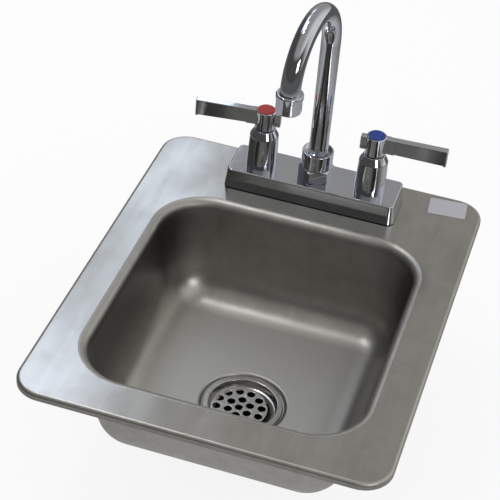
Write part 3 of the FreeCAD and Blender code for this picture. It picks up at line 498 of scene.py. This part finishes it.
# Below the plate the colour goes near black: painted shade, over the real dull film.
wiped_and_lit = place.parts()[2].ease(plate_low.z, plate_low.z + FILM_DEPTH).most(reach.ease(*FILM_EDGE))
bright = (MARK_TONE * marks + STAIN_TONE * stain).blend(DRAIN_DARK, DRAIN_LIGHT)
feed(Base_Color=wiped_and_lit.blend(DRAIN_FILM_SHADE, bright))
feed(Roughness=wiped_and_lit * (DRAIN_ROUGH + MARK_ROUGH * marks + STAIN_ROUGH * stain) + (1 - wiped_and_lit) * FILM_ROUGH)
feed(Normal=place.bump(marks, MARK_DEPTH, strength=0.5))
print("drain axis", [round(v, 4) for v in drain_axis])

# %% [markdown]
# ## Strainer steel
# The plate is punched from bright sheet. It lies loose and is dropped and scrubbed, so it has short
# scratches from all directions. A strongly warped noise breaks up into such short marks, and a softer one
# is the film that water leaves.

# %% Strainer steel
PLATE_DULL = (0.56, 0.55, 0.53, 1)
PLATE_BRIGHT = (0.70, 0.69, 0.67, 1)
PLATE_ROUGH = 0.14
SCRATCH_ROUGH = 0.07
WATER_ROUGH = 0.05
SCRATCH_SHARE = 0.5
SCRATCH_DEPTH = 0.15 * MM

place, feed = finish("strainer_steel", Metallic=1.0)
scratch = place.noise(scale=700, detail=4, roughness=0.7, warp=2.5)
water = place.noise(scale=130, detail=3, roughness=0.6, warp=0.8)
feed(Base_Color=water.blend(PLATE_DULL, PLATE_BRIGHT))
feed(Roughness=PLATE_ROUGH + SCRATCH_ROUGH * scratch + WATER_ROUGH * water)
feed(Normal=place.bump(SCRATCH_SHARE * scratch + water, SCRATCH_DEPTH, strength=0.35))
print("strainer plate", round((plate_high.z - plate_low.z) / MM, 2), "mm thick")

# %% [markdown]
# ## Brass
# Brass fittings are turned from bar, bright at first and brown where water and flux stay. The lathe's
# marks run round an upright axis, so they are noise along the height, and a cloudy noise lays the tarnish
# over them.

# %% Brass
BRASS_BRIGHT = (0.74, 0.54, 0.24, 1)
BRASS_BROWN = (0.48, 0.31, 0.13, 1)
TARNISH = (0.35, 0.75)
BRASS_ROUGH = 0.20
TARNISH_ROUGH = 0.25
TOOL_ROUGH = 0.08
TOOL_SHARE = 0.4
BRASS_DEPTH = 0.12 * MM

place, feed = finish("yellow_brass", Metallic=1.0)
tarnish = place.noise(scale=160, detail=4, roughness=0.65, warp=0.7)
marks = place.parts()[2].rings(2200)
feed(Base_Color=tarnish.ease(*TARNISH).blend(BRASS_BRIGHT, BRASS_BROWN))
feed(Roughness=BRASS_ROUGH + TARNISH_ROUGH * tarnish + TOOL_ROUGH * marks)
feed(Normal=place.bump(TOOL_SHARE * marks + (1 - TOOL_SHARE) * tarnish, BRASS_DEPTH, strength=0.5))
print("brass ready")

# %% [markdown]
# ## Plain steel
# The clip rails, washers and screws are plated with zinc, which grows in small flat crystals with
# slightly different shine. Voronoi cells are such a pattern of flat patches, and a soft haze breaks their
# evenness.

# %% Plain steel
ZINC_DARK = (0.46, 0.46, 0.45, 1)
ZINC_LIGHT = (0.62, 0.62, 0.61, 1)
ZINC_ROUGH = 0.28
CRYSTAL_ROUGH = 0.14
HAZE_ROUGH = 0.12
CRYSTAL_SHARE = 0.5
CRYSTAL_DEPTH = 0.1 * MM

place, feed = finish("plain_steel", Metallic=1.0)
crystal = place.cells(420)
haze = place.noise(scale=70, detail=3, roughness=0.6)
feed(Base_Color=(CRYSTAL_SHARE * crystal + (1 - CRYSTAL_SHARE) * haze).blend(ZINC_DARK, ZINC_LIGHT))
feed(Roughness=ZINC_ROUGH + CRYSTAL_ROUGH * crystal + HAZE_ROUGH * haze)
feed(Normal=place.bump(crystal, CRYSTAL_DEPTH, strength=0.3))
print("plain steel ready")

# %% [markdown]
# ## Rubber and foam
# The seals are soft goods cut or moulded in quantity. Rubber is nearly black with a grey bloom, and the
# foam strip shows its open cells. They are small and mostly hidden, so one pattern each is enough.

# %% Rubber and foam
RUBBER_BLACK = (0.012, 0.012, 0.013, 1)
RUBBER_BLOOM = (0.045, 0.045, 0.047, 1)
BLOOM = (0.4, 0.8)
RUBBER_ROUGH = 0.48
BLOOM_ROUGH = 0.25
RUBBER_DEPTH = 0.1 * MM
FOAM_PORE = (0.055, 0.055, 0.06, 1)
FOAM_SKIN = (0.17, 0.17, 0.18, 1)
PORE = (0.05, 0.5)
PORE_DEPTH = 0.4 * MM

place, feed = finish("black_rubber")
bloom = place.noise(scale=140, detail=4, roughness=0.6)
feed(Base_Color=bloom.ease(*BLOOM).blend(RUBBER_BLACK, RUBBER_BLOOM))
feed(Roughness=RUBBER_ROUGH + BLOOM_ROUGH * bloom)
feed(Normal=place.bump(place.noise(scale=2200), RUBBER_DEPTH, strength=0.4))

place, feed = finish("grey_foam", Roughness=0.9)
pore = place.cells(1500)
feed(Base_Color=pore.ease(*PORE).blend(FOAM_PORE, FOAM_SKIN))
feed(Normal=place.bump(pore, PORE_DEPTH, strength=0.7))
print("rubber and foam ready")

# %% [markdown]
# ## Putty and fibre
# Putty seals the drain's flange and keeps the lumps that it was pressed into. The red-brown fibre washer
# lets the locknut slide as it is tightened, and shows short strands: noise stretched a little each way.

# %% Putty and fibre
PUTTY_DARK = (0.34, 0.31, 0.26, 1)
PUTTY_LIGHT = (0.46, 0.43, 0.37, 1)
LUMP_DEPTH = 0.6 * MM
FIBRE_DARK = (0.22, 0.10, 0.06, 1)
FIBRE_LIGHT = (0.42, 0.22, 0.14, 1)
STRAND_STRETCH = (900, 260, 600)
STRAND_DEPTH = 0.2 * MM

place, feed = finish("putty", Roughness=0.6)
lump = place.noise(scale=240, detail=3, roughness=0.6, warp=0.5)
feed(Base_Color=lump.blend(PUTTY_DARK, PUTTY_LIGHT))
feed(Normal=place.bump(lump, LUMP_DEPTH, strength=0.6))

place, feed = finish("fibre", Roughness=0.75)
strand = place.scaled(*STRAND_STRETCH).noise(detail=4, roughness=0.7, warp=1.5)
feed(Base_Color=strand.blend(FIBRE_DARK, FIBRE_LIGHT))
feed(Normal=place.bump(strand, STRAND_DEPTH, strength=0.5))
print("putty and fibre ready")

# %% [markdown]
# ## Plastics and ceramic
# The index buttons are moulded in solid colour, with a faint flow pattern under a glossy skin. The
# aerator's insert and the spout's glide washer are a dull white nylon, and the valve discs are
# fine-ground ceramic. All four are two close shades in a cloudy flow, so one function makes them.

# %% Plastics and ceramic
RED_DARK = (0.26, 0.012, 0.010, 1)
RED_LIGHT = (0.38, 0.022, 0.020, 1)
BLUE_DARK = (0.004, 0.026, 0.18, 1)
BLUE_LIGHT = (0.010, 0.044, 0.27, 1)
NYLON_DARK = (0.60, 0.60, 0.58, 1)
NYLON_LIGHT = (0.70, 0.70, 0.68, 1)
CERAMIC_DARK = (0.72, 0.71, 0.68, 1)
CERAMIC_LIGHT = (0.80, 0.79, 0.77, 1)
FLOW_ROUGH = 0.12
SKIN_FINER = 9
SKIN_DEPTH = 0.05 * MM

def moulded(name, dark, light, scale, rough):
    """A moulded or fired material: two close shades in a cloudy flow."""
    place, feed = finish(name)
    flow = place.noise(scale, detail=3, roughness=0.55, warp=1.2)
    feed(Base_Color=flow.blend(dark, light))
    feed(Roughness=rough + FLOW_ROUGH * flow)
    feed(Normal=place.bump(place.noise(scale * SKIN_FINER), SKIN_DEPTH, strength=0.3))

moulded("red_plastic", RED_DARK, RED_LIGHT, scale=180, rough=0.24)
moulded("blue_plastic", BLUE_DARK, BLUE_LIGHT, scale=180, rough=0.24)
moulded("white_plastic", NYLON_DARK, NYLON_LIGHT, scale=220, rough=0.36)
moulded("white_ceramic", CERAMIC_DARK, CERAMIC_LIGHT, scale=400, rough=0.10)
print("plastics and ceramic ready")

# %% [markdown]
# ## Label film
# The label is a pale satin film, and it is left blank. Rolling leaves fine lines along it, and cleaning
# leaves scuffs. It is only partly metal, because a clear layer lies over its silver.

# %% Label film
FILM_DARK = (0.44, 0.435, 0.47, 1)
FILM_LIGHT = (0.56, 0.555, 0.60, 1)
ROLL_STRETCH = (60, 1500, 60)
ROLL_SHARE = 0.6
LABEL_ROUGH = 0.30
ROLL_ROUGH = 0.12
SCUFF_ROUGH = 0.10
ROLL_DEPTH = 0.04 * MM

place, feed = finish("silver_label", Metallic=0.35)
rolled = place.scaled(*ROLL_STRETCH).noise(detail=3, roughness=0.6)
scuff = place.noise(scale=150, detail=4, roughness=0.65, warp=0.8)
feed(Base_Color=(ROLL_SHARE * rolled + (1 - ROLL_SHARE) * scuff).blend(FILM_DARK, FILM_LIGHT))
feed(Roughness=LABEL_ROUGH + ROLL_ROUGH * rolled + SCUFF_ROUGH * scuff)
feed(Normal=place.bump(rolled, ROLL_DEPTH, strength=0.4))
print("finishes made:", len(paints))

# %% [markdown]
# ## Finishes on the frame's own pieces
# The record names one material slot for each piece, and the finishes above carry the slots' names, so one
# loop dresses every solid. The finer pieces below replace a few of them.

# %% Assign finishes by the record's slots
slot_of = {part["node"]: part["material_slot"] for part in frame["record"]["subparts"]}
for name, piece in nodes.items():
    piece.data.materials.clear()
    piece.data.materials.append(paints[slot_of[name]])
print("dressed", len(nodes), "pieces in", len(set(slot_of.values())), "finishes")

# %% [markdown]
# ## Recipes for finer pieces
# A perforated plate, a thread and a rounded label all follow a rule, so each is a Geometry Nodes recipe
# with its sizes as named inputs. Plain Python loops could place the same points, but a recipe shows its
# rule and can be run again at another size. `recipe` starts a tree and `serve` ends it.

# %% Recipe helpers
def recipe(name, sizes):
    """An empty tree with a named input for each size: the tree, its incoming shape and its sizes."""
    tree = bpy.data.node_groups.new(name, "GeometryNodeTree")
    tree.interface.new_socket("Shape", in_out="INPUT", socket_type="NodeSocketGeometry")
    for size in sizes:
        tree.interface.new_socket(size, in_out="INPUT", socket_type="NodeSocketFloat")
    tree.interface.new_socket("Shape", in_out="OUTPUT", socket_type="NodeSocketGeometry")
    enter = tree.nodes.new("NodeGroupInput")
    return tree, [Wire(tree, enter.outputs[i]) for i in range(len(sizes) + 1)]

def serve(shape, paint):
    """Realizes the shape, paints it and hands it over."""
    solid = shape.node("GeometryNodeRealizeInstances", Geometry=shape)
    solid = shape.node("GeometryNodeSetMaterial", Geometry=solid, Material=paint)
    leave = shape.tree.nodes.new("NodeGroupOutput")
    shape.tree.links.new(solid.socket, leave.inputs[0])

def flipped(shape):
    """The same shape with its faces turned round."""
    return shape.node("GeometryNodeFlipFaces", Mesh=shape)

def joined(*shapes):
    """Several shapes as one."""
    made = shapes[0].tree.nodes.new("GeometryNodeJoinGeometry")
    for shape in shapes:
        shape.tree.links.new(shape.socket, made.inputs[0])
    return Wire(shapes[0].tree, made.outputs[0])

print("recipe helpers ready")

# %% [markdown]
# ## From recipe to piece
# `grow` runs a recipe on a mesh and keeps the result as a plain mesh, with its place in its points, as
# the frame's own pieces have. `settle` hides the frame's solid that the new piece replaces, hangs the piece
# on the body that carries it, and measures how much room is left inside the box of that solid.

# %% Grow and settle
def grow(name, mesh, tree, runs, at):
    """Runs a recipe on a mesh once for each set of sizes. The result is a plain mesh at its place."""
    piece = bpy.data.objects.new(name, mesh)
    scene.collection.objects.link(piece)
    for sizes in runs:
        step = piece.modifiers.new("recipe", "NODES")
        step.node_group = tree
        for item in tree.interface.items_tree:
            if item.in_out == "INPUT" and item.name in sizes:
                step[item.identifier] = float(sizes[item.name])
    piece.modifiers.new("even", "WEIGHTED_NORMAL")
    ready = piece.evaluated_get(bpy.context.evaluated_depsgraph_get())
    plain = bpy.data.meshes.new_from_object(ready)
    piece.modifiers.clear()
    piece.data = plain
    plain.transform(Matrix.Translation(at))
    return piece

def settle(piece, node, body):
    """The piece stands for a node of the frame and moves with its body."""
    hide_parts(node)
    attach(piece, body)
    low, high = [Vector(corner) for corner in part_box(node)]
    spare = min(min(*(v.co - low), *(high - v.co)) for v in piece.data.vertices)
    print(piece.name, "for", node, "faces", len(piece.data.polygons), "spare", round(spare / MM, 3), "mm")

print("ready to grow pieces")

# %% [markdown]
# ## Turned tubes
# The supply shanks and the drain are turned on a lathe, so they are made the same way here: a closed
# outline of radius and height goes once round its axis. Walls that carry a thread get many rows, for the
# thread to move.

# %% Turned tubes
SIDES = 96
FULL_TURN = 2 * math.pi
SHARP = math.radians(32)

def turned(name, outline):
    """A closed outline of (radius, height) pairs, turned once about Z."""
    angles = [FULL_TURN * k / SIDES for k in range(SIDES)]
    circle = [(math.cos(a), math.sin(a)) for a in angles]
    shell = bmesh.new()
    rings = []
    for radius, height in outline:
        rings.append([shell.verts.new((radius * x, radius * y, height)) for x, y in circle])
    for ring, following in zip(rings, rings[1:] + rings[:1]):
        for k in range(SIDES):
            after = (k + 1) % SIDES
            shell.faces.new((ring[k], ring[after], following[after], following[k]))
    bmesh.ops.recalc_face_normals(shell, faces=shell.faces)
    mesh = bpy.data.meshes.new(name)
    shell.to_mesh(mesh)
    shell.free()
    mesh.shade_smooth()
    mesh.set_sharp_from_angle(angle=SHARP)
    return mesh

def wall(radius, start, stop, step):
    """Points along a straight wall, no further apart than step."""
    count = math.ceil(abs(stop - start) / step)
    return [(radius, start + (stop - start) * i / count) for i in range(count + 1)]

def arc(radius, height, bend, start, stop, count=6):
    """Points round a bend about (radius, height), between two angles in degrees."""
    angles = [math.radians(start + (stop - start) * i / count) for i in range(count + 1)]
    return [(radius + bend * math.cos(a), height + bend * math.sin(a)) for a in angles]

print("lathe ready,", SIDES, "sides")

# %% [markdown]
# ## Threads
# A thread is a helix, so how deep it is cut depends only on the height and the angle about the axis. The
# recipe pulls the outer wall in by a wave that climbs one pitch in each turn and fades out at both ends.
# Drawing the helix as a curve would need a cut as well. Moving the wall's own rows keeps one clean skin.

# %% Thread recipe
ROWS_PER_PITCH = 8
FLANKS = (0.12, 0.88)
THREAD_SIZES = ["Core", "Bottom", "Top", "Pitch", "Depth"]

def thread_recipe(paint):
    """A recipe that cuts a thread into the outer wall of a turned tube."""
    tree, (shape, core, bottom, top, pitch, depth) = recipe("thread_in_" + paint.name, THREAD_SIZES)
    spot = shape.node("GeometryNodeInputPosition")
    x, y, z = spot.parts()
    reach = spot.from_axis(0, 0)
    climb = z / pitch - shape.sums("ARCTAN2", y, x) / FULL_TURN
    groove = abs(2 * shape.sums("FRACT", climb) - 1).ease(*FLANKS)
    ends = z.ease(bottom, bottom + pitch) * (1 - z.ease(top - pitch, top))
    pull = 0 - depth * groove * ends * reach.ease(core, core + depth) / reach
    offset = shape.node("CombineXYZ", X=x * pull, Y=y * pull)
    serve(shape.node("GeometryNodeSetPosition", Geometry=shape, Offset=offset), paint)
    return tree

print("thread recipe ready,", ROWS_PER_PITCH, "rows in each pitch")

# %% [markdown]
# ## Supply shanks
# Under the deck, each valve ends in a threaded brass tube. A nut on its wide part clamps the tap to the
# deck, and the water comes in at its slimmer lower part. Both tubes are alike, so a loop makes the two of
# them from one outline and one run of the thread recipe.

# %% Supply shanks
SHANK_R = 11.2 * MM
SUPPLY_R = 10.4 * MM
SHANK_BORE = 6.0 * MM
SUPPLY_LENGTH = 25.0 * MM
SUPPLY_PITCH = 1.814 * MM
SUPPLY_DEPTH = 0.9 * MM

brass_thread = thread_recipe(paints["yellow_brass"])
row = SUPPLY_PITCH / ROWS_PER_PITCH
for water in ("hot", "cold"):
    node = water + "_supply_shank"
    low, high = [Vector(corner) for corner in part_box(node)]
    tall = high.z - low.z
    outline = wall(SUPPLY_R, 0, SUPPLY_LENGTH, row) + wall(SHANK_R, SUPPLY_LENGTH, tall, row)
    outline += [(SHANK_BORE, tall), (SHANK_BORE, 0)]
    cut = {"Core": SHANK_BORE, "Bottom": 0, "Top": tall, "Pitch": SUPPLY_PITCH, "Depth": SUPPLY_DEPTH}
    at = ((low.x + high.x) / 2, (low.y + high.y) / 2, low.z)
    settle(grow(water + "_threaded_shank", turned(node, outline), brass_thread, [cut], at), node, "sink")

# %% [markdown]
# ## The drain body
# The drain is one turned piece: a flange with rounded edges that shows in the bowl, a dish, a pocket that
# the strainer plate drops into, a wide threaded neck for the locknut and a slimmer threaded outlet. One
# outline goes up the outside and down the inside, and the thread recipe runs twice, once for each thread.

# %% Drain body
FLANGE_R = 34.6 * MM
FLANGE_THICK = 2.0 * MM
FLANGE_EDGE = 0.8 * MM
DISH_R = 29.6 * MM
DISH_DROP = 5.5 * MM
POCKET_R = 28.2 * MM
NECK_R = 30.0 * MM
OUTLET_R = 24.13 * MM
OUTLET_BORE = 20.5 * MM
OUTLET_LENGTH = 30.0 * MM
FUNNEL = 6.0 * MM
DRAIN_PITCH = 2.2 * MM
DRAIN_DEPTH = 1.1 * MM

tall = drain_high.z - drain_low.z
seat = plate_low.z - drain_low.z
neck = OUTLET_LENGTH + FUNNEL
flange_under = tall - FLANGE_THICK
edge_height = tall - FLANGE_EDGE
row = DRAIN_PITCH / ROWS_PER_PITCH
outline = wall(OUTLET_R, 0, OUTLET_LENGTH, row) + wall(NECK_R, neck, flange_under, row)
outline += [(FLANGE_R, flange_under)]
outline += arc(FLANGE_R - FLANGE_EDGE, edge_height, FLANGE_EDGE, start=0, stop=90)
outline += arc(DISH_R + FLANGE_EDGE, edge_height, FLANGE_EDGE, start=90, stop=180)
outline += [(POCKET_R, tall - DISH_DROP), (POCKET_R, seat), (OUTLET_BORE, seat), (OUTLET_BORE, 0)]
lower = {"Core": OUTLET_BORE, "Bottom": 0, "Top": OUTLET_LENGTH, "Pitch": DRAIN_PITCH, "Depth": DRAIN_DEPTH}
upper = {**lower, "Core": POCKET_R, "Bottom": neck, "Top": flange_under}
at = (drain_axis.x, drain_axis.y, drain_low.z)
drain_thread = thread_recipe(paints["drain_steel"])
drain = grow("threaded_drain", turned("drain", outline), drain_thread, [lower, upper], at)
settle(drain, "drain_body", "sink")

# %% [markdown]
# ## Shapes for the strainer plate
# The plate is punched from sheet: a hole in the middle, then rings of six and twelve. Punching rounds the
# edges of the holes and of the rim, and those bright edges are what the eye sees first. A bevel on a cut
# plate would give uneven corners, so each wall is a tube whose two ends curl over in a quarter round.

# %% Strainer shapes
WALL_ROWS = 18
RING_STEP = 6
RINGS = (1, 2)
STRAINER_SIZES = ["Radius", "Thickness", "Hole", "Edge", "Pitch", "Notch"]
plate_tree, (shape, radius, thick, hole, edge, pitch, notch) = recipe("strainer", STRAINER_SIZES)

def circle_outline(sides, radius):
    """A round outline."""
    by_radius = {"mode": "RADIUS"}
    return shape.node("GeometryNodeCurvePrimitiveCircle", by_radius, Resolution=sides, Radius=radius)

def spot_ring(ring):
    """The points of one ring of holes, six more for each pitch that it is away from the middle."""
    count = RING_STEP * ring
    circle = shape.node("GeometryNodeMeshCircle", Vertices=count, Radius=pitch * ring)
    return shape.node("GeometryNodeTransform", Geometry=circle, Rotation=(0, 0, math.pi / count))

def rounded_wall(sides, radius, side):
    """An upright wall whose two ends curl away from the metal: side is 1 outwards, -1 inwards."""
    tube = shape.node("GeometryNodeMeshCylinder", {"fill_type": "NONE"}, Vertices=sides,
                      Side_Segments=WALL_ROWS, Radius=radius, Depth=thick)
    x, y, z = shape.node("GeometryNodeInputPosition").parts()
    bend = (1 - (thick / 2 - abs(z)) / edge).most(0)
    curl = edge * (1 - (1 - bend * bend).most(0) ** 0.5) * (side / radius)
    offset = shape.node("CombineXYZ", X=x * curl, Y=y * curl)
    return shape.node("GeometryNodeSetPosition", Geometry=tube, Offset=offset)

def on_spots(thing):
    """A copy of the thing at every hole."""
    placed = shape.node("GeometryNodeInstanceOnPoints", Points=spots, Instance=thing)
    return shape.node("GeometryNodeRealizeInstances", Geometry=placed)

def lifted(thing, height):
    """The thing, moved up."""
    up = shape.node("CombineXYZ", Z=height)
    return shape.node("GeometryNodeTransform", Geometry=thing, Translation=up)

middle = shape.node("GeometryNodeMeshLine", Count=1)
spots = joined(middle, *[spot_ring(ring) for ring in RINGS])
print("strainer holes:", 1 + RING_STEP * sum(RINGS))

# %% [markdown]
# ## The strainer's recipe
# A flat outline with holes in it is filled twice, above and below, and walls join the two. Three small
# notches in the rim give a fingernail its hold. They follow a rule as well: near each notch's angle, the
# rim's points move in by the depth of a half circle.

# %% Strainer recipe
HOLE_SIDES = 40
RIM_SIDES = 360
NOTCHES = 3
NOTCH_PHASE = math.radians(28)
NOTCH_FROM = 2.0
NOTCH_FULL = 1.5
WELD = 0.002 * MM

openings = on_spots(circle_outline(HOLE_SIDES, hole + edge))
flat = shape.node("GeometryNodeFillCurve", Curve=joined(circle_outline(RIM_SIDES, radius - edge), openings))
faces = joined(lifted(flat, thick / 2), lifted(flipped(flat), thick / -2))
walls = joined(on_spots(flipped(rounded_wall(HOLE_SIDES, hole, 1))), rounded_wall(RIM_SIDES, radius, -1))
whole = shape.node("GeometryNodeMergeByDistance", Geometry=joined(faces, walls), Distance=WELD)

spot = shape.node("GeometryNodeInputPosition")
x, y, z = spot.parts()
reach = spot.from_axis(0, 0)
third = FULL_TURN / NOTCHES
angle = shape.sums("ARCTAN2", y, x) - NOTCH_PHASE + third / 2
away = abs(shape.sums("FLOORED_MODULO", angle, third) - third / 2) * radius
at_rim = reach.ease(radius - edge * NOTCH_FROM, radius - edge * NOTCH_FULL)
dip = (notch * notch - away * away).most(0) ** 0.5 * at_rim / reach
offset = shape.node("CombineXYZ", X=x * dip * -1, Y=y * dip * -1)
serve(shape.node("GeometryNodeSetPosition", Geometry=whole, Offset=offset), paints["strainer_steel"])
print("strainer recipe nodes:", len(plate_tree.nodes))

# %% [markdown]
# ## The strainer plate
# The plate lies loose in the drain's pocket and lifts out for cleaning, so it rides on a body of its own.
# Its recipe needs no incoming mesh: it grows from an empty one, at the size of the frame's own plate.

# %% Strainer plate
PLATE_R = 24.8 * MM
PLATE = {
    "Radius": PLATE_R,
    "Thickness": plate_high.z - plate_low.z,
    "Hole": 3.5 * MM,
    "Edge": 0.35 * MM,
    "Pitch": 9.8 * MM,
    "Notch": 1.2 * MM,
}
at = ((plate_low.x + plate_high.x) / 2, plate_high.y - PLATE_R, (plate_low.z + plate_high.z) / 2)
strainer = grow("punched_strainer", bpy.data.meshes.new("strainer"), plate_tree, [PLATE], at)
settle(strainer, "strainer_plate", "strainer")

# %% [markdown]
# ## The blank label
# A small film label is stuck on the deck's back corner. It is cut with rounded corners, so its recipe
# rounds the corners of a rectangle, fills it and gives it the film's thickness.

# %% Label
LABEL_TURN = math.radians(5)
CORNER_POINTS = 6
LABEL_SIZES = ["Width", "Length", "Thickness", "Corner"]
low, high = [Vector(corner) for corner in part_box("blank_label")]
LABEL = {"Width": 34 * MM, "Length": 24 * MM, "Thickness": high.z - low.z, "Corner": 1.6 * MM}

label_tree, (start, width, length, film, corner) = recipe("label", LABEL_SIZES)
border = start.node("GeometryNodeCurvePrimitiveQuadrilateral", Width=width, Height=length)
border = start.node("GeometryNodeFilletCurve", {"mode": "POLY"}, Curve=border, Count=CORNER_POINTS,
                    Radius=corner)
face = start.node("GeometryNodeFillCurve", {"mode": "NGONS"}, Curve=border)
raised = start.node("GeometryNodeExtrudeMesh", Mesh=face, Offset_Scale=film)
label = start.node("GeometryNodeMergeByDistance", Geometry=joined(raised, flipped(face)), Distance=WELD)
label = start.node("GeometryNodeTransform", Geometry=label, Rotation=(0, 0, LABEL_TURN))
serve(label, paints["silver_label"])
at = ((low.x + high.x) / 2, (low.y + high.y) / 2, low.z)
settle(grow("film_label", bpy.data.meshes.new("label"), label_tree, [LABEL], at), "blank_label", "sink")
